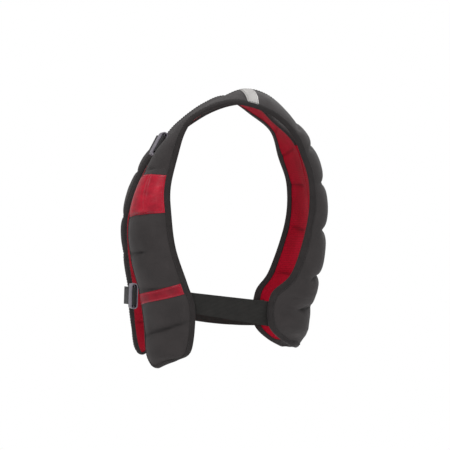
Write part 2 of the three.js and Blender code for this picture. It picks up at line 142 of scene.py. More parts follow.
class Surface:
    """A node material built up in small steps."""

    def __init__(self, name, roughness, sheen=0.0, coat=0.0, coat_roughness=0.1, specular=0.5):
        self.material = bpy.data.materials.new(name)
        self.material.use_nodes = True
        self.tree = self.material.node_tree
        self.shader = self.tree.nodes["Principled BSDF"]
        self.set(self.shader, "Roughness", roughness)
        self.set(self.shader, "Specular IOR Level", specular)
        self.set(self.shader, "Sheen Weight", sheen)
        self.set(self.shader, "Sheen Roughness", 0.45)
        self.set(self.shader, "Coat Weight", coat)
        self.set(self.shader, "Coat Roughness", coat_roughness)
        self.height = None

    def set(self, node, socket, value):
        node.inputs[socket].default_value = value

    def node(self, kind, **values):
        made = self.tree.nodes.new(kind)
        for key, value in values.items():
            setattr(made, key, value)
        return made

    def link(self, out, into):
        self.tree.links.new(out, into)
        return out

    def lay(self):
        """The flat coordinates of the cloth, in metres."""
        return self.node("ShaderNodeAttribute", attribute_name="lay").outputs["Vector"]

    def place(self):
        """Coordinates in the row frame, in metres."""
        return self.node("ShaderNodeTexCoord").outputs["Object"]

    def bands(self, along, axis, pitch, where=None):
        wave = self.node("ShaderNodeTexWave", bands_direction=axis, wave_type="BANDS")
        self.set(wave, "Scale", 0.31416 / pitch)
        self.set(wave, "Distortion", along)
        self.set(wave, "Detail", 0)
        self.link(where or self.lay(), wave.inputs["Vector"])
        return wave.outputs["Fac"]

    def grain(self, size, detail=2, where=None):
        noise = self.node("ShaderNodeTexNoise")
        self.set(noise, "Scale", 1 / size)
        self.set(noise, "Detail", detail)
        self.link(where or self.lay(), noise.inputs["Vector"])
        return noise.outputs["Fac"]

    def cells(self, size, where=None):
        voronoi = self.node("ShaderNodeTexVoronoi", feature="F1")
        self.set(voronoi, "Scale", 1 / size)
        self.set(voronoi, "Randomness", 0.25)
        self.link(where or self.lay(), voronoi.inputs["Vector"])
        return voronoi.outputs["Distance"]

    # The painted shade kept on the mesh: 0 for none, 1 for the darkest painted shade in a crease.
    def painted_shade(self):
        return self.node("ShaderNodeAttribute", attribute_name="painted_shade").outputs["Fac"]

    def math(self, kind, a, b):
        made = self.node("ShaderNodeMath", operation=kind)
        for socket, value in zip(made.inputs, (a, b)):
            if isinstance(value, (int, float)):
                socket.default_value = value
            else:
                self.link(value, socket)
        return made.outputs[0]

    def spread(self, value, low, high, start=0.0, end=1.0):
        made = self.node("ShaderNodeMapRange")
        for socket, number in zip(list(made.inputs)[1:5], (start, end, low, high)):
            socket.default_value = number
        self.link(value, made.inputs["Value"])
        return made.outputs[0]

    def mix(self, share, a, b):
        made = self.node("ShaderNodeMix", data_type="RGBA")
        for socket, value in zip((made.inputs[6], made.inputs[7]), (a, b)):
            if isinstance(value, tuple):
                socket.default_value = value
            else:
                self.link(value, socket)
        self.link(share, made.inputs[0])
        return made.outputs[2]

    def colour(self, out):
        self.link(out, self.shader.inputs["Base Color"])

    def rough(self, out):
        self.link(out, self.shader.inputs["Roughness"])

    def bump(self, height, distance, strength=1.0):
        made = self.node("ShaderNodeBump")
        self.set(made, "Strength", strength)
        self.set(made, "Distance", distance)
        self.link(height, made.inputs["Height"])
        if self.height is not None:
            self.link(self.height, made.inputs["Normal"])
        self.height = made.outputs["Normal"]
        self.link(self.height, self.shader.inputs["Normal"])


def shell_material():
    """Neoprene faced with a fine matt knit, with painted shade darkening it down in the creases."""
    s = Surface("neoprene_knit", 0.78, sheen=0.1, specular=0.3)
    wales = s.bands(0.6, "X", 0.0011)
    courses = s.bands(0.6, "Y", 0.0008)
    knit = s.math("MULTIPLY", wales, courses)
    fuzz = s.grain(0.0022, 4)
    cloud = s.grain(0.03, 3)
    tone = s.mix(s.spread(cloud, 0, 1, 0.3, 0.7), linear(54, 50, 50), linear(66, 61, 61))
    tone = s.mix(s.spread(fuzz, 0, 0.35, 0.35, 0.75), tone, linear(84, 79, 79))
    tone = s.mix(s.spread(knit, 0.28, 0), tone, linear(28, 26, 26))
    # Painted shade: darker down in the creases.
    tone = s.mix(s.spread(s.painted_shade(), 0, 0.8), tone, linear(22, 20, 20))
    s.colour(tone)
    s.rough(s.spread(fuzz, 0.7, 0.88, 0.3, 0.7))
    s.bump(cloud, 0.0008, 0.5)
    s.bump(fuzz, 0.0004, 0.4)
    s.bump(knit, 0.00022, 0.6)
    return s.material


def lining_material():
    """Red spacer mesh with rows of small pores, with painted shade darkening it in the creases."""
    s = Surface("red_spacer_mesh", 0.78, sheen=0.03, specular=0.15)
    pores = s.cells(0.0024)
    rows = s.bands(0.8, "Y", 0.0012)
    cloud = s.grain(0.04, 3)
    tone = s.mix(s.spread(cloud, 0, 1, 0.3, 0.7), linear(176, 0, 34), linear(204, 4, 48))
    tone = s.mix(s.spread(pores, 0, 0.55, 0.28, 0.6), tone, linear(132, 0, 24))
    tone = s.mix(s.spread(rows, 0.18, 0), tone, linear(118, 0, 20))
    # Painted shade: darker in the lining's creases.
    tone = s.mix(s.spread(s.painted_shade(), 0, 0.7), tone, linear(52, 3, 12))
    s.colour(tone)
    s.bump(cloud, 0.0008, 0.4)
    s.bump(pores, 0.0006, 0.5)
    s.bump(rows, 0.0003, 0.5)
    return s.material


def tape_material():
    """Folded twill tape."""
    s = Surface("binding_twill", 0.75, sheen=0.05, specular=0.25)
    turned = s.node("ShaderNodeMapping")
    turned.inputs["Rotation"].default_value = (0, 0, math.radians(38))
    s.link(s.lay(), turned.inputs["Vector"])
    ridge = s.bands(0.5, "X", 0.0009, turned.outputs[0])
    cloud = s.grain(0.012, 3)
    tone = s.mix(s.spread(cloud, 0, 1, 0.3, 0.7), linear(44, 40, 40), linear(58, 54, 54))
    tone = s.mix(s.spread(ridge, 0.35, 0), tone, linear(18, 16, 16))
    s.colour(tone)
    s.rough(s.spread(cloud, 0.62, 0.8, 0.3, 0.7))
    s.bump(cloud, 0.0005, 0.5)
    s.bump(ridge, 0.0003, 0.7)
    return s.material


def film_material(name, bright, dull):
    """Coated red fabric with soft gloss and a fine pebble, with painted shade in the creases and inside a patch's
    stitched frame.
    """
    s = Surface(name, 0.36, coat=0.12, coat_roughness=0.2, specular=0.3)
    pebble = s.grain(0.0011, 2)
    wave = s.grain(0.018, 3)
    streak = s.bands(2.5, "Y", 0.0016)
    tone = s.mix(s.spread(wave, 0, 1, 0.32, 0.68), dull, bright)
    tone = s.mix(s.spread(streak, 0.16, 0), tone, linear(88, 10, 26))
    # Painted shade: darker in the creases and inside the lower patch's frame.
    tone = s.mix(s.spread(s.painted_shade(), 0, 0.75), tone, linear(64, 6, 18))
    s.colour(tone)
    s.rough(s.spread(pebble, 0.26, 0.46, 0.3, 0.7))
    s.bump(wave, 0.0022, 0.55)
    s.bump(pebble, 0.0002, 0.4)
    s.bump(streak, 0.00012, 0.5)
    return s.material


def reflective_material():
    """Silver reflective tape with fine ribs."""
    s = Surface("reflective_tape", 0.38)
    s.set(s.shader, "Metallic", 0.25)
    rib = s.bands(0.2, "X", 0.0026)
    bead = s.grain(0.0008, 2)
    tone = s.mix(s.spread(rib, 0, 1), linear(150, 147, 144), linear(206, 203, 200))
    tone = s.mix(s.spread(bead, 0, 0.3, 0.4, 0.7), tone, linear(238, 236, 234))
    s.colour(tone)
    s.rough(s.spread(bead, 0.3, 0.5, 0.3, 0.7))
    s.bump(rib, 0.0007, 0.8)
    s.bump(bead, 0.0002, 0.5)
    return s.material


def elastic_material():
    """Woven elastic with lengthwise ribs and fine cross threads."""
    s = Surface("woven_elastic", 0.82, sheen=0.06, specular=0.3)
    rib = s.bands(0.15, "Y", 0.0022)
    thread = s.bands(0.4, "X", 0.0009)
    cloud = s.grain(0.02, 3)
    tone = s.mix(s.spread(cloud, 0, 1, 0.3, 0.7), linear(44, 43, 41), linear(58, 57, 55))
    tone = s.mix(s.spread(rib, 0.5, 0), tone, linear(24, 23, 22))
    tone = s.mix(s.spread(thread, 0.22, 0), tone, linear(20, 20, 19))
    s.colour(tone)
    s.rough(s.spread(cloud, 0.74, 0.9, 0.3, 0.7))
    s.bump(rib, 0.0007, 0.8)
    s.bump(thread, 0.0002, 0.6)
    return s.material


def webbing_material():
    """Flat woven webbing with a plain basket weave."""
    s = Surface("woven_webbing", 0.74, sheen=0.1)
    warp = s.bands(0.25, "X", 0.0014)
    weft = s.bands(0.25, "Y", 0.0018)
    weave = s.math("MULTIPLY", warp, weft)
    cloud = s.grain(0.01, 3)
    tone = s.mix(s.spread(cloud, 0, 1, 0.3, 0.7), linear(32, 31, 32), linear(46, 44, 46))
    tone = s.mix(s.spread(weave, 0.5, 0, 0, 0.6), tone, linear(13, 13, 14))
    s.colour(tone)
    s.rough(s.spread(cloud, 0.66, 0.84, 0.3, 0.7))
    s.bump(weave, 0.0005, 0.9)
    return s.material


def plastic_material():
    """Moulded grey acetal: satin, with a fine spark texture and lighter rubbed patches."""
    s = Surface("moulded_acetal", 0.36)
    spark = s.grain(0.0007, 3, s.place())
    rub = s.grain(0.009, 3, s.place())
    tone = s.mix(s.spread(rub, 0, 1, 0.35, 0.7), linear(112, 107, 117), linear(140, 134, 145))
    tone = s.mix(s.spread(spark, 0, 0.25, 0.4, 0.75), tone, linear(166, 161, 170))
    s.colour(tone)
    s.rough(s.spread(rub, 0.3, 0.46, 0.3, 0.7))
    s.bump(spark, 0.00015, 0.35)
    return s.material


def bag_material():
    """Tight plain-woven grey nylon, pressed into relief by the grit behind it."""
    s = Surface("woven_nylon", 0.55)
    weave = s.math("MULTIPLY", s.bands(0.2, "X", 0.0012, s.place()), s.bands(0.2, "Z", 0.0012, s.place()))
    grit = s.cells(0.0035, s.place())
    tone = s.mix(s.spread(grit, 0, 1, 0.2, 0.7), linear(98, 100, 103), linear(70, 72, 75))
    tone = s.mix(s.spread(weave, 0.3, 0), tone, linear(44, 45, 47))
    s.colour(tone)
    s.rough(s.spread(grit, 0.5, 0.62, 0.2, 0.7))
    s.bump(grit, 0.0008, 0.5)
    s.bump(weave, 0.0003, 0.6)
    return s.material


def foam_material():
    """Closed-cell foam."""
    s = Surface("closed_cell_foam", 0.94)
    cell = s.cells(0.0016, s.place())
    tone = s.mix(s.spread(cell, 0, 1, 0.1, 0.6), linear(66, 68, 70), linear(40, 42, 44))
    s.colour(tone)
    s.rough(s.spread(cell, 0.88, 0.97, 0.1, 0.6))
    s.bump(cell, 0.0004, 0.7)
    return s.material


def thread_material(name, dark, light):
    """Twisted sewing thread."""
    s = Surface(name, 0.55)
    twist = s.bands(1.0, "DIAGONAL", 0.0009, s.place())
    s.colour(s.mix(s.spread(twist, 0, 1), dark, light))
    s.rough(s.spread(twist, 0.48, 0.62))
    s.bump(twist, 0.0002, 0.6)
    return s.material


# ---------------------------------------------------------------------------------------------------
# The shape of one lobe, as the frame builds it: stations from the front hem over the shoulder to the
# back hem, in millimetres above the front hem's level
# ---------------------------------------------------------------------------------------------------

REST_HEIGHT = 455
REST_DEPTH = 20
LINING = 2.2
SHELL = 2.4
GAP = 0.3
CROWN = 0.6
STATIONS = [
    ((64, -130, 5), (97, -94, 23), 8),
    ((51, -141, 30), (107, -77, 42), 13),
    ((43, -145, 90), (108, -72, 108), 15),
    ((38, -152, 140), (107, -84, 147), 15),
    ((36, -166, 200), (104, -104, 208), 15),
    ((35, -167, 255), (101, -111, 265), 15),
    ((35, -153, 303), (100, -112, 310), 13),
    ((37, -130, 353), (105, -101, 361), 9),
    ((45, -98, 396), (111, -88, 404), 5),
    ((53, -67, 423), (118, -67, 430), 4),
    ((59, -27, 451), (124, -20, 449), 4),
    ((61, 20, 473), (125, 20, 446), 4),
    ((59, 62, 462), (117, 61, 430), 5),
    ((51, 93, 429), (104, 94, 402), 7),
    ((18, 125, 389), (96, 112, 368), 12),
    ((8, 144, 315), (95, 127, 318), 15),
    ((8, 148, 250), (96, 124, 252), 17),
    ((8, 143, 170), (101, 97, 168), 20),
    ((8, 142, 128), (104, 60, 130), 22),
    ((8, 131, 74), (103, 57, 78), 19),
    ((14, 116, 40), (72, 100, 40), 7),
]
# Where the right lobe hangs a little differently from the left one.
RIGHT_LOBE = {
    0: ((62, -136, 22), (97, -96, 36), 8),
    1: ((51, -147, 42), (107, -75, 56), 13),
    2: ((44, -155, 95), (108, -70, 112), 15),
    3: ((38, -158, 141), (107, -85, 148), 15),
    8: ((45, -94, 391), (111, -82, 400), 3.4),
    9: ((53, -54, 421), (118, -57, 428), 2.4),
    10: ((59, -15, 444), (122, -15, 458), 2.4),
    11: ((61, 24, 457), (122, 24, 470), 2.4),
    12: ((59, 62, 458), (116, 66, 443), 3.4),
    13: ((51, 93, 428), (103, 99, 413), 7),
    18: ((8, 142, 128), (104, 72, 128), 22),
    19: ((8, 131, 74), (103, 71, 72), 19),
    20: ((14, 116, 40), (72, 108, 34), 7),
}
LAST = len(STATIONS) - 1
NAPE = 14.05
STATION_LENGTH = 52.0

# Quilting seams: place along the stations, where the crease starts and ends across the lobe, its
# slope along the lobe, and its depth in millimetres.
SEAMS = [
    (0.0, 0.0, 1.0, 0.0, 0.0),
    (1.55, 0.0, 1.0, 0.22, 5.2),
    (3.0, 0.0, 0.60, 0.05, 2.6),
    (4.0, 0.0, 0.56, 0.03, 5.4),
    (5.1, 0.0, 0.74, 0.0, 4.2),
    (6.6, 0.1, 0.70, 0.0, 2.2),
    (7.9, 0.1, 0.60, 0.0, 1.3),
    (13.2, 0.2, 0.85, 0.0, 1.8),
    (14.05, 0.1, 0.80, 0.03, 3.4),
    (15.0, 0.0, 0.72, 0.04, 3.8),
    (16.1, 0.25, 0.72, 0.10, 5.2),
    (17.05, 0.25, 0.72, 0.14, 5.6),
    (18.35, 0.2, 0.66, 0.22, 6.4),
    (20.0, 0.0, 1.0, 0.0, 0.0),
]
SEAM_PLACES = [seam[0] for seam in SEAMS]


def unit(v):
    return v / np.maximum(np.linalg.norm(v, axis=-1, keepdims=True), 1e-12)


def spline(points, u):
    """Points on a uniform Catmull-Rom curve, at u counted in stations."""
    p = np.vstack([2 * points[0] - points[1], points, 2 * points[-1] - points[-2]])
    k = np.clip(np.floor(u).astype(int), 0, len(points) - 2)
    t = (u - k)[..., None]
    a, b, c, d = p[k], p[k + 1], p[k + 2], p[k + 3]
    square = 2 * a - 5 * b + 4 * c - d
    cube = 3 * b - a - 3 * c + d
    return 0.5 * (2 * b + (c - a) * t + square * t**2 + cube * t**3)


def lobe_of(side):
    """The edges of the lobe on the wearer's left (side 1) or right (side -1)."""
    rows = [RIGHT_LOBE.get(k, row) if side < 0 else row for k, row in enumerate(STATIONS)]
    inner, outer, full = (np.array([row[k] for row in rows], float) for k in range(3))
    return {"side": side, "inner": inner, "outer": outer, "fullness": full, "seed": 11 if side > 0 else 47}


LEFT = lobe_of(1)
RIGHT = lobe_of(-1)


def fullness(lobe, u):
    return np.interp(u, np.arange(LAST + 1), lobe["fullness"])


def body_face(lobe, s, u):
    """The face of the lobe that lies against the wearer, drawn on the wearer's left."""
    s, u = np.broadcast_arrays(np.asarray(s, float), np.asarray(u, float))
    u = np.clip(u, 0, LAST)
    inner, outer = spline(lobe["inner"], u), spline(lobe["outer"], u)
    low, high = np.clip(u - 0.002, 0, LAST), np.clip(u + 0.002, 0, LAST)
    way_in = unit(spline(lobe["inner"], high) - spline(lobe["inner"], low))
    way_out = unit(spline(lobe["outer"], high) - spline(lobe["outer"], low))
    chord = outer - inner
    tangent = way_in + (way_out - way_in) * s[..., None]
    away = unit(np.cross(chord, tangent))
    crown = CROWN * fullness(lobe, u) * 4 * s * (1 - s)
    return inner + chord * s[..., None] + away * crown[..., None]


def outward(lobe, s, u):
    s, u = np.broadcast_arrays(np.asarray(s, float), np.asarray(u, float))
    step = 0.02
    s0, s1 = np.clip(s - step, 0, 1), np.clip(s + step, 0, 1)
    u0, u1 = np.clip(u - step, 0, LAST), np.clip(u + step, 0, LAST)
    across = body_face(lobe, s1, u) - body_face(lobe, s0, u)
    along = body_face(lobe, s, u1) - body_face(lobe, s, u0)
    return unit(np.cross(across, along))


def width_at(lobe, u):
    return np.linalg.norm(spline(lobe["outer"], u) - spline(lobe["inner"], u), axis=-1)


HEM_STATION = 30.0
CORNER = 12.0


def hems(lobe, s):
    """Where the lobe ends along its stations, cut back by its rounded corners. The spine corner is square."""
    cuts = []
    for u, gap in ((0.0, np.minimum(s, 1 - s)), (float(LAST), 1 - s)):
        far = np.clip(1 - gap * width_at(lobe, np.array([u]))[0] / CORNER, 0, 1)
        cuts.append(CORNER / HEM_STATION * (1 - np.sqrt(1 - far**2)))
    return cuts[0], LAST - cuts[1]


def on_lobe(lobe, s, u, height):
    s, u = np.broadcast_arrays(np.asarray(s, float), np.asarray(u, float))
    height = np.broadcast_to(np.asarray(height, float), s.shape)
    return body_face(lobe, s, u) + outward(lobe, s, u) * height[..., None]


def to_row(points, side):
    """Millimetres over the front hem to metres in the row frame, on the lobe's own side."""
    return (points - [0, REST_DEPTH, REST_HEIGHT]) * [side * 0.001, 0.001, 0.001]


def relief(x, y, size, seed):
    """Smooth random relief from -1 to 1 whose features are about size across."""
    table = np.random.default_rng(seed).uniform(-1, 1, (64, 64))
    gx, gy = x / size, y / size
    ix, iy = np.floor(gx).astype(int), np.floor(gy).astype(int)
    fx, fy = gx - ix, gy - iy
    fx, fy = fx * fx * (3 - 2 * fx), fy * fy * (3 - 2 * fy)
    at = lambda a, b: table[(ix + a) % 64, (iy + b) % 64]
    low = at(0, 0) * (1 - fx) + at(1, 0) * fx
    high = at(0, 1) * (1 - fx) + at(1, 1) * fx
    return low * (1 - fy) + high * fy


def step_up(x, low, high):
    t = np.clip((x - low) / (high - low), 0, 1)
    return t * t * (3 - 2 * t)


def creases(lobe, s, u):
    """How deep the seams pull the shell in, in millimetres, and how much painted crease shade each point gets, from 0
    to 1.
    """
    depth, painted_shade = np.zeros_like(s), np.zeros_like(s)
    wander = 0.02 * relief(s * 60, u * 30, 16, lobe["seed"] + 3)
    for place, start, end, slope, deep in SEAMS:
        if deep == 0:
            continue
        away = (u - place - slope * (s - 0.3) - wander) * STATION_LENGTH
        there = step_up(s, start - 0.16, start + 0.02) * (1 - step_up(s, end - 0.18, end + 0.04))
        line = np.exp(-((away / 2.3) ** 2))
        slack = np.exp(-np.abs(away) / 8.0)
        pucker = relief(s * 90, away * 0.35, 7.5, lobe["seed"] + int(place * 10))
        depth += there * deep * (0.55 * line + 0.45 * np.exp(-((away / 6.5) ** 2)))
        depth += there * slack * 0.8 * pucker
        # The crease line's painted shade, stronger for deeper seams.
        painted_shade = np.maximum(painted_shade, there * np.exp(-((away / 2.0) ** 2)) * min(deep / 4, 1))
    return depth, painted_shade


def swell(lobe, s, u):
    """How far a cell swells between its two seams, from 0.7 at a seam to 1 in the middle, and less at a hem."""
    k = np.clip(np.searchsorted(SEAM_PLACES, u, side="right") - 1, 0, len(SEAMS) - 2)
    places = np.array(SEAM_PLACES)
    share = np.clip((u - places[k]) / (places[k + 1] - places[k]), 0, 1)
    low, high = hems(lobe, s)
    hem = np.sqrt(np.clip(np.minimum(u - low, high - u) / 0.7, 0, 1))
    return hem * (0.7 + 0.3 * np.sin(np.pi * share) ** 0.7)


def stuffing(lobe, s, u):
    """The shell's height over the lining, and how much painted crease shade each point gets."""
    s, u = np.broadcast_arrays(np.asarray(s, float), np.asarray(u, float))
    width = width_at(lobe, np.clip(u, 0, LAST))
    share = np.clip((s * width - 1.5) / (width - 3), 0, 1)
    round_over = np.sin(np.pi * share) ** 0.7
    dent, painted_shade = creases(lobe, s, u)
    soft = 1.0 * relief(s * width, u * STATION_LENGTH, 34, lobe["seed"])
    soft = soft + 0.45 * relief(s * width, u * STATION_LENGTH, 13, lobe["seed"] + 1)
    height = fullness(lobe, u) * swell(lobe, s, u) + 0.6 * soft - dent
    return np.maximum(height, 0.4) * round_over, painted_shade * round_over


def shell_top(lobe, s, u):
    height, painted_shade = stuffing(lobe, s, u)
    return LINING + GAP + SHELL + height, painted_shade


# ---------------------------------------------------------------------------------------------------
# Mesh building
# ---------------------------------------------------------------------------------------------------


def mesh_piece(name, points, faces, material, lay=None, painted_shade=None, smooth=True):
    mesh = bpy.data.meshes.new(name)
    mesh.from_pydata([tuple(p) for p in np.asarray(points, float)], [], [tuple(f) for f in faces])
    mesh.materials.append(material)
    mesh.polygons.foreach_set("use_smooth", [smooth] * len(mesh.polygons))
    if lay is not None:
        kept = mesh.attributes.new("lay", "FLOAT_VECTOR", "POINT")
        kept.data.foreach_set("vector", np.asarray(lay, np.float32).ravel())
    # Painted shade, from 0 to 1, for the materials to darken by.
    if painted_shade is not None:
        kept = mesh.attributes.new("painted_shade", "FLOAT", "POINT")
        kept.data.foreach_set("value", np.asarray(painted_shade, np.float32).ravel())
    mesh.validate()
    mesh.update()
    return new_object(name, mesh)


def slab(name, top, bottom, flip, material, lay=None, painted_shade=None):
    """A closed thin solid between two grids of points."""
    rows, columns = top.shape[:2]
    count = rows * columns
    grid = np.arange(count).reshape(rows, columns)
    a, b, c, d = grid[:-1, :-1], grid[:-1, 1:], grid[1:, 1:], grid[1:, :-1]
    faces = [np.stack([a, b, c, d], -1).reshape(-1, 4)]
    faces.append(np.stack([a, d, c, b], -1).reshape(-1, 4) + count)
    rim = np.concatenate([grid[:-1, 0][::-1] * 0 + grid[1:, 0][::-1], grid[:1, 0], grid[0, 1:], grid[1:, -1]])
    rim = np.concatenate([rim, grid[-1, 1:-1][::-1]])
    after = np.roll(rim, -1)
    faces.append(np.stack([rim, rim + count, after + count, after], -1))
    faces = np.concatenate(faces)
    if flip:
        faces = faces[:, ::-1]
    points = np.concatenate([top.reshape(-1, 3), bottom.reshape(-1, 3)])
    lay = None if lay is None else np.concatenate([lay.reshape(-1, 3)] * 2)
    painted_shade = None if painted_shade is None else np.concatenate([painted_shade.ravel()] * 2)
    return mesh_piece(name, points, faces, material, lay, painted_shade)


def evenly(points, step):
    """The index positions, as fractions, of points a step apart along a line."""
    gone = np.concatenate([[0], np.cumsum(np.linalg.norm(np.diff(points, axis=0), axis=1))])
    at = np.arange(step / 2, gone[-1], step)
    return np.interp(at, gone, np.arange(len(points)))


def sample(points, at):
    k = np.clip(np.floor(at).astype(int), 0, len(points) - 2)
    t = (at - k)[:, None]
    return points[k] * (1 - t) + points[k + 1] * t


def stitches(name, line, ups, material, length=0.0034, step=0.0048, radius=0.00042):
    """A row of sewn stitches: short rounded bars that dip into the cloth at each end."""
    at = evenly(line, step)
    ahead = evenly(line, step) + 0.02
    middle = sample(line, at)
    along = unit(sample(line, ahead) - middle)
    up = unit(sample(ups, at))
    out = unit(np.cross(along, up))
    rings = [(-0.5, 0.3, -0.5), (-0.36, 1.0, 0.1), (0.0, 1.1, 0.45), (0.36, 1.0, 0.1), (0.5, 0.3, -0.5)]
    angles = np.linspace(0, 2 * math.pi, 7)[:-1]
    points, faces = [], []
    for m, a, u, o in zip(middle, along, up, out):
        base = len(points)
        for place, size, lift in rings:
            for angle in angles:
                side = o * math.cos(angle) + u * math.sin(angle)
                points.append(m + a * place * length + u * lift * radius + side * radius * size)
        for k in range(len(rings) - 1):
            for j in range(6):
                q = (j + 1) % 6
                p0, p1 = base + k * 6 + j, base + k * 6 + q
                faces.append([p0, p0 + 6, p1 + 6, p1])
        faces.append([base + j for j in range(6)])
        faces.append([base + 24 + j for j in reversed(range(6))])
    return mesh_piece(name, points, faces, material)


def finished(obj, body, stands_for=()):
    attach(obj, body)
    if stands_for:
        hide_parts(*stands_for)
    return obj


# ---------------------------------------------------------------------------------------------------
# The soft pieces
# ---------------------------------------------------------------------------------------------------

ROWS = 440
COLUMNS = 36


def lobe_grid(lobe, rows=ROWS, columns=COLUMNS):
    """Places all over the lobe, closer together near its edges, with the end rows drawn up to the hems."""
    u = np.linspace(0, LAST, rows)[:, None] * np.ones((1, columns))
    s = np.linspace(0, 1, columns)[None] * np.ones((rows, 1))
    s = 0.5 - 0.5 * np.cos(np.pi * s) * 0.35 + (s - 0.5) * 0.65
    s = (s - s.min()) / (s.max() - s.min())
    low, high = hems(lobe, s)
    u = u + low * np.clip(1 - u, 0, 1) - (LAST - high) * np.clip(u - LAST + 1, 0, 1)
    return s, u


def lay_of(lobe, s, u):
    flat = np.zeros(s.shape + (3,))
    flat[..., 0] = s * width_at(lobe, np.clip(u, 0, LAST)) / 1000
    flat[..., 1] = u * STATION_LENGTH / 1000
    return flat


def make_shell(lobe, name, body, material):
    s, u = lobe_grid(lobe)
    top, painted_shade = shell_top(lobe, s, u)
    outside = to_row(on_lobe(lobe, s, u, top), lobe["side"])
    inside = to_row(on_lobe(lobe, s, u, top - SHELL), lobe["side"])
    shell = slab(f"{name}_shell", outside, inside, lobe["side"] < 0, material, lay_of(lobe, s, u), painted_shade)
    return finished(shell, body, [f"outer_shell_{name}"])


def lining_drop(lobe, s, u):
    """How far the lining puffs towards the wearer between its seams."""
    dent, painted_shade = creases(lobe, 1 - s, u)
    width = width_at(lobe, np.clip(u, 0, LAST))
    round_over = np.sin(np.pi * np.clip(s, 0, 1)) ** 0.5
    soft = 0.5 * relief(s * width, u * STATION_LENGTH, 22, lobe["seed"] + 8)
    drop = (2.4 * (swell(lobe, s, u) - 0.5) / 0.5 + soft) * round_over - 0.55 * dent * round_over
    # The lining's painted crease shade, a little weaker than the shell's.
    return drop, painted_shade * round_over * 0.8


def make_lining(lobe, name, body, material):
    s, u = lobe_grid(lobe)
    drop, painted_shade = lining_drop(lobe, s, u)
    top = to_row(on_lobe(lobe, s, u, np.full(s.shape, LINING)), lobe["side"])
    under = to_row(on_lobe(lobe, s, u, -np.maximum(drop, -1.2)), lobe["side"])
    lining = slab(f"{name}_lining_pad", top, under, lobe["side"] < 0, material, lay_of(lobe, s, u), painted_shade)
    return finished(lining, body, [f"lining_{name}"])


TAPE_EDGE = 4.9
# The folded tape's section, round its outer face and back along its inner one: the layer of the lobe it
# lies on, its share of the tape's reach over that layer, and its height above the layer.
TAPE = [
    ("shell", 1.0, 0.1), ("shell", 0.97, 0.75), ("shell", 0.75, 0.95), ("shell", 0.45, 0.9), ("shell", 0.16, 0.9),
    ("edge", 1.5, 0.72), ("edge", 1.9, 0.35), ("edge", 1.3, -0.08),
    ("lining", 0.16, 0.9), ("lining", 0.45, 0.9), ("lining", 0.75, 0.95), ("lining", 0.97, 0.75), ("lining", 1.0, 0.1),
    ("lining", 0.9, -0.35), ("lining", 0.4, -0.35), ("edge", 0.3, 0.35), ("shell", 0.4, -0.35), ("shell", 0.9, -0.35),
]


def edge_run(lobe, steps):
    """The lobe's edge from the nape down the front, round the hem, over the armhole and to the spine."""
    turn = 0.5 - 0.5 * np.cos(np.linspace(0, np.pi, 3 * steps))
    low, high = hems(lobe, turn)
    count = int((high[-1] - low[-1]) * steps)
    front = np.linspace(NAPE, low[0], int((NAPE - low[0]) * steps))[:-1]
    armhole = np.linspace(low[-1], high[-1], count)[1:-1]
    s = np.concatenate([front * 0, turn, armhole * 0 + 1, turn[::-1]])
    u = np.concatenate([front, low, armhole, high[::-1]])
    return s, u


def inset(lobe, s, u, reach):
    """The place on the lobe that lies a reach, in millimetres, in from its edge at (s, u)."""
    share, places = reach / width_at(lobe, u), reach / HEM_STATION
    s = np.clip(s, share, 1 - share)
    low, high = hems(lobe, s)
    return s, np.clip(u, low + places, high - places)


def tape_point(lobe, s, u, layer, reach, height):
    s, u = inset(lobe, s, u, reach)
    if layer == "shell":
        return on_lobe(lobe, s, u, shell_top(lobe, s, u)[0] + height)
    return on_lobe(lobe, s, u, -lining_drop(lobe, s, u)[0] - height)


def make_binding(lobe, name, body, material, thread):
    s, u = edge_run(lobe, 16)
    side = lobe["side"]
    edge = body_face(lobe, s, u)
    up = outward(lobe, s, u)
    ways = unit(np.diff(edge, axis=0))
    before, after = np.vstack([ways[:1], ways]), np.vstack([ways, ways[-1:]])
    a, b = unit(np.cross(before, up)), unit(np.cross(after, up))
    out = (a + b) / np.maximum(1 + (a * b).sum(1), 0.5)[:, None]
    reach = {"shell": 4.6 + 0.8 * s, "lining": 3.5 + 7.5 * s}
    ring, round_it, last = [], [0.0], None
    for layer, share, height in TAPE:
        if layer == "edge":
            points = edge + out * share + up * height * TAPE_EDGE
        else:
            points = tape_point(lobe, s, u, layer, reach[layer] * share, height)
        if last is not None:
            round_it.append(round_it[-1] + np.linalg.norm(points - last, axis=1).mean() / 1000)
        last = points
        ring.append(to_row(points, side))
    rows, sides = len(s), len(TAPE)
    grid = np.arange(rows * sides).reshape(rows, sides)
    after = np.roll(grid, -1, axis=1)
    faces = np.stack([grid[:-1], grid[1:], after[1:], after[:-1]], -1).reshape(-1, 4).tolist()
    faces += [grid[0].tolist(), grid[-1][::-1].tolist()]
    if side < 0:
        faces = [face[::-1] for face in faces]
    lay = np.zeros((rows, sides, 3))
    lay[..., 0] = np.concatenate([[0], np.cumsum(np.linalg.norm(np.diff(edge, axis=0), axis=1))])[:, None] / 1000
    lay[..., 1] = round_it
    tape = mesh_piece(f"{name}_binding", np.stack(ring, 1).reshape(-1, 3), faces, material, lay.reshape(-1, 3))
    finished(tape, body, [f"edge_binding_{name}"])
    line = to_row(tape_point(lobe, s, u, "shell", reach["shell"] * 0.8, 0.95), side)
    sewn = stitches(f"{name}_binding_stitches", line, up * [side, 1, 1], thread)
    return finished(sewn, body)


def patch_grid(lobe, low, high, left, right, rows, columns, slant=0.0):
    s = np.linspace(left, right, columns)[None] * np.ones((rows, 1))
    u = np.linspace(low, high, rows)[:, None] + slant * s
    return s, u


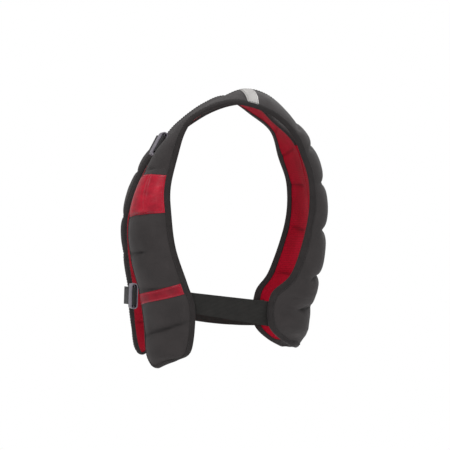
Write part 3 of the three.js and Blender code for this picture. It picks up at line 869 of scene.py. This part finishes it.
def make_patch(lobe, name, body, node, shape, material, thread, thick=1.0, extra=None, painted_inner_shade=0.0):
    """A sewn-on patch that follows the shell, with a folded edge, a row of stitches and streaky painted shade inside
    its stitched frame.
    """
    low, high, left, right, rows, columns, slant = shape
    s, u = patch_grid(lobe, low, high, left, right, rows, columns, slant)
    top, painted_shade = shell_top(lobe, s, u)
    i, j = np.linspace(0, 1, rows)[:, None], np.linspace(0, 1, columns)[None]
    edge = np.minimum(np.minimum(i, 1 - i) * rows, np.minimum(j, 1 - j) * columns) * np.ones_like(s)
    hem = np.clip(edge / 1.5, 0, 1) * 0.5 + 0.5
    rise = 0.35 + thick * hem
    if extra is not None:
        rise = rise + extra(i, j)
    side = lobe["side"]
    above = to_row(on_lobe(lobe, s, u, top + rise), side)
    below = to_row(on_lobe(lobe, s, u, top - 0.6), side)
    # Painted shade inside the stitched frame, in streaks, with the frame left lighter; the shell's painted crease
    # shade is kept at 0.6 of its strength.
    inside = step_up(np.minimum(np.minimum(i, 1 - i), 4 * np.minimum(j, 1 - j)), 0.16, 0.26)
    streaks = 0.7 + 0.3 * relief(j * 9, i * 40, 1, 5)
    painted_shade = np.maximum(painted_shade * 0.6, painted_inner_shade * inside * streaks)
    piece = slab(name, above, below, side < 0, material, lay_of(lobe, s, u), painted_shade)
    finished(piece, body, [node])
    inset_u = 2.6 / STATION_LENGTH
    inset_s = 2.6 / width_at(lobe, np.array([low]))[0]
    corners = [(left + inset_s, low + inset_u), (right - inset_s, low + inset_u)]
    corners += [(right - inset_s, high - inset_u), (left + inset_s, high - inset_u)]
    run = []
    for (s0, u0), (s1, u1) in zip(corners, corners[1:] + corners[:1]):
        run += [(s0 + (s1 - s0) * k / 40, u0 + (u1 - u0) * k / 40) for k in range(40)]
    run = np.array(run + run[:1])
    run[:, 1] += slant * run[:, 0]
    height = shell_top(lobe, run[:, 0], run[:, 1])[0] + 0.35 + thick
    line = to_row(on_lobe(lobe, run[:, 0], run[:, 1], height), side)
    ups = outward(lobe, run[:, 0], run[:, 1]) * [side, 1, 1]
    sewn = stitches(f"{name}_stitches", line, ups, thread, length=0.0026, step=0.0037, radius=0.00032)
    finished(sewn, body)
    return piece


STRAPS = {
    "left": (LEFT, ((2.7, 18.22), (1.85, 19.02)), 0.0),
    "right": (RIGHT, ((2.5, 18.22), (1.55, 19.02)), 4.0),
}


def strap_line(lobe, front, back, sag):
    """The middle of one edge of the side strap, whose ends are tucked behind the lobe."""
    start = on_lobe(lobe, np.array([0.84, 0.92, 1.0]), front, -2.5)
    end = on_lobe(lobe, np.array([1.0, 0.92, 0.84]), back, -2.5)
    share = np.array([0.06, 0.3, 0.55, 0.8, 0.94])[:, None]
    bow = 4 * share * (1 - share)
    span = start[2] * (1 - share) + end[0] * share + bow * [5, 0, -sag]
    return np.vstack([start, span, end])


def make_strap(name, body, material, thread):
    lobe, edges, sag = STRAPS[name]
    upper, lower = (strap_line(lobe, front, back, sag) for front, back in edges)
    at = np.linspace(0, len(upper) - 1, 150)
    top, bottom = spline(upper, at), spline(lower, at)
    across = np.linspace(0, 1, 27)
    centre = top[None] * (1 - across[:, None, None]) + bottom[None] * across[:, None, None]
    way = np.gradient(centre, axis=1)
    face = unit(np.cross(way, (bottom - top)[None]))
    face = face * np.sign(face[..., :1].mean())
    ripple = 0.5 * relief(at * 12, at * 0, 26, lobe["seed"])[None, :, None] * np.sin(np.pi * across)[:, None, None]
    side = lobe["side"]
    rim = (0.8 + 0.25 * (np.abs(across - 0.5) > 0.44))[:, None, None]
    outer = to_row(centre + face * (rim + ripple), side)
    inner = to_row(centre - face * (0.8 - ripple), side)
    gone = np.concatenate([[0], np.cumsum(np.linalg.norm(np.diff(top, axis=0), axis=1))]) / 1000
    lay = np.zeros(centre.shape)
    lay[..., 0] = gone[None]
    lay[..., 1] = across[:, None] * np.linalg.norm(top - bottom, axis=1)[None] / 1000
    strap = slab(f"{name}_side_strap", outer, inner, side > 0, material, lay)
    finished(strap, body, [f"side_strap_{name}"])
    return strap


def make_spine(name, lobe, fabric, red, thread):
    """One half of the narrow fabric strip down the spine, which opens out as the halves spread."""
    u = np.linspace(NAPE + 0.05, LAST - 0.1, 90)[:, None] * np.ones((1, 9))
    edge = spline(LEFT["inner"], u)
    half = np.minimum(edge[..., :1] - 1.4, 6.6) + 2.6
    share = np.linspace(0, 1, 9)[None, :, None]
    dip = 1.1 * np.cos(np.pi * share / 2)
    side = lobe["side"]
    base = np.concatenate([half * share, edge[..., 1:2] - dip * 0.6, edge[..., 2:3]], axis=-1)
    lay = np.zeros(base.shape)
    lay[..., 0] = base[..., 0] / 1000
    lay[..., 1] = u * STATION_LENGTH / 1000
    levels = ((LINING + GAP + SHELL - 0.7, LINING + GAP, "spine_panel", "shell_fabric", fabric, "spine_shell"),)
    levels += ((LINING - 0.3, 0.7, "spine_lining", "lining_fabric", red, "spine_lining"),)
    for high, low, label, slot, material, node in levels:
        top = to_row(base + np.array([0, high, 0]), side)
        under = to_row(base + np.array([0, low, 0]), side)
        strip = slab(f"{label}_{name}", top, under, side > 0, material, lay, np.zeros(u.shape))
        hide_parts(node)
        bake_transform(strip)


def applied(obj):
    """Bakes the object's modifiers into its mesh."""
    bpy.context.view_layer.update()
    mesh = bpy.data.meshes.new_from_object(obj.evaluated_get(bpy.context.evaluated_depsgraph_get()))
    obj.modifiers.clear()
    obj.data = mesh
    return obj


def copy_of(node, name, material):
    """A fresh copy of a CAD node's mesh with its doubled corners joined and flat triangles merged."""
    import bmesh

    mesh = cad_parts[node].data.copy()
    work = bmesh.new()
    work.from_mesh(mesh)
    bmesh.ops.remove_doubles(work, verts=work.verts, dist=1e-6)
    bmesh.ops.dissolve_limit(work, angle_limit=math.radians(0.5), verts=work.verts, edges=work.edges)
    work.to_mesh(mesh)
    work.free()
    mesh.materials.clear()
    mesh.materials.append(material)
    made = new_object(name, mesh)
    return made


def bevelled(node, name, body, material, width, segments=3, flat_lay=False):
    piece = copy_of(node, name, material)
    bevel = piece.modifiers.new("edges", "BEVEL")
    bevel.width = width
    bevel.segments = segments
    bevel.limit_method = "ANGLE"
    bevel.angle_limit = math.radians(35)
    bevel.harden_normals = True
    applied(piece)
    piece.data.polygons.foreach_set("use_smooth", [True] * len(piece.data.polygons))
    if flat_lay:
        co = np.array([v.co for v in piece.data.vertices], float)
        kept = piece.data.attributes.new("lay", "FLOAT_VECTOR", "POINT")
        flat = np.stack([co[:, 0], co[:, 2], co[:, 1] * 0], -1)
        kept.data.foreach_set("vector", flat.astype(np.float32).ravel())
    return finished(piece, body, [node])


def rounded_bag(node, name, body, material):
    """A stuffed piece inside a cell: the CAD solid's own room, swollen smooth."""
    import bmesh

    piece = copy_of(node, name, material)
    work = bmesh.new()
    work.from_mesh(piece.data)
    bmesh.ops.triangulate(work, faces=work.faces)
    work.to_mesh(piece.data)
    work.free()
    smooth = piece.modifiers.new("round", "SUBSURF")
    smooth.levels = 1
    smooth.render_levels = 1
    applied(piece)
    piece.data.polygons.foreach_set("use_smooth", [True] * len(piece.data.polygons))
    finished(piece, body, [node])
    return piece


# ---------------------------------------------------------------------------------------------------
# Putting the vest together
# ---------------------------------------------------------------------------------------------------

add_camera()
add_stage()

FABRIC = shell_material()
RED = lining_material()
TAPE_CLOTH = tape_material()
BAND = film_material("red_band_film", linear(206, 22, 52), linear(160, 8, 38))
PATCH = film_material("red_patch_film", linear(186, 16, 46), linear(150, 8, 36))
SILVER = reflective_material()
ELASTIC = elastic_material()
WEBBING = webbing_material()
ACETAL = plastic_material()
NYLON = bag_material()
FOAM = foam_material()
DARK_THREAD = thread_material("dark_thread", linear(26, 24, 24), linear(60, 56, 56))
RED_THREAD = thread_material("red_thread", linear(120, 22, 38), linear(196, 92, 104))
GREY_THREAD = thread_material("grey_thread", linear(96, 94, 92), linear(150, 148, 146))


def band_folds(i, j):
    """The upright pleat near the outer end of the chest band."""
    return 1.6 * np.exp(-(((j - 0.62) / 0.035) ** 2)) * (0.4 + 0.6 * i) - 0.7 * np.exp(-(((j - 0.54) / 0.03) ** 2))


for side_name, lobe, half in (("left", LEFT, "left_half"), ("right", RIGHT, "right_half")):
    shell = make_shell(lobe, side_name, half, FABRIC)
    lining = make_lining(lobe, side_name, half, RED)
    make_binding(lobe, side_name, half, TAPE_CLOTH, DARK_THREAD)
    make_strap(side_name, half, ELASTIC, DARK_THREAD)
    make_spine(side_name, lobe, FABRIC, RED, DARK_THREAD)
    strip = (10.86, 11.3, 0.03, 0.97, 14, 40, 0.0)
    reflective = make_patch(
        lobe, f"{side_name}_reflective_strip", half, f"reflective_strip_{side_name}",
        strip, SILVER, GREY_THREAD, thick=0.8,
    )
    low_patch = (2.45, 2.83, 0.05, 0.93, 14, 40, 0.28)
    make_patch(
        lobe, f"{side_name}_lower_patch", half, f"lower_patch_{side_name}",
        low_patch, PATCH, RED_THREAD, painted_inner_shade=0.6,
    )
    for region in ("front", "back"):
        for k in range(1, 7):
            node = f"weight_bag_{region}_{k}_{side_name}"
            rounded_bag(node, f"{node}_stuffed", half, NYLON)
    rounded_bag(f"shoulder_pad_{side_name}", f"{side_name}_shoulder_foam", half, FOAM)

band = (5.08, 6.4, 0.05, 0.93, 60, 60, 0.0)
make_patch(LEFT, "left_chest_band", "left_half", "chest_band_left", band, BAND, RED_THREAD, extra=band_folds)

for where in ("upper", "lower"):
    tongue = f"{where}_tongue"
    bevelled(f"{where}_buckle_housing", f"{where}_housing", "left_half", ACETAL, 0.0005)
    bevelled(f"{where}_buckle_tongue", f"{where}_tongue_plate", tongue, ACETAL, 0.0007)
    for arm in ("top", "bottom"):
        bevelled(f"{where}_buckle_arm_{arm}", f"{where}_arm_{arm}", tongue, ACETAL, 0.0006)
    bevelled(f"{where}_webbing_loop", f"{where}_loop", "left_half", WEBBING, 0.0004, 2, True)
    bevelled(f"{where}_webbing_tail", f"{where}_tail", tongue, WEBBING, 0.0004, 2, True)
    strap = bevelled(f"{where}_webbing_strap", f"{where}_strap", "right_half", WEBBING, 0.0004, 2, True)
    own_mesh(strap)

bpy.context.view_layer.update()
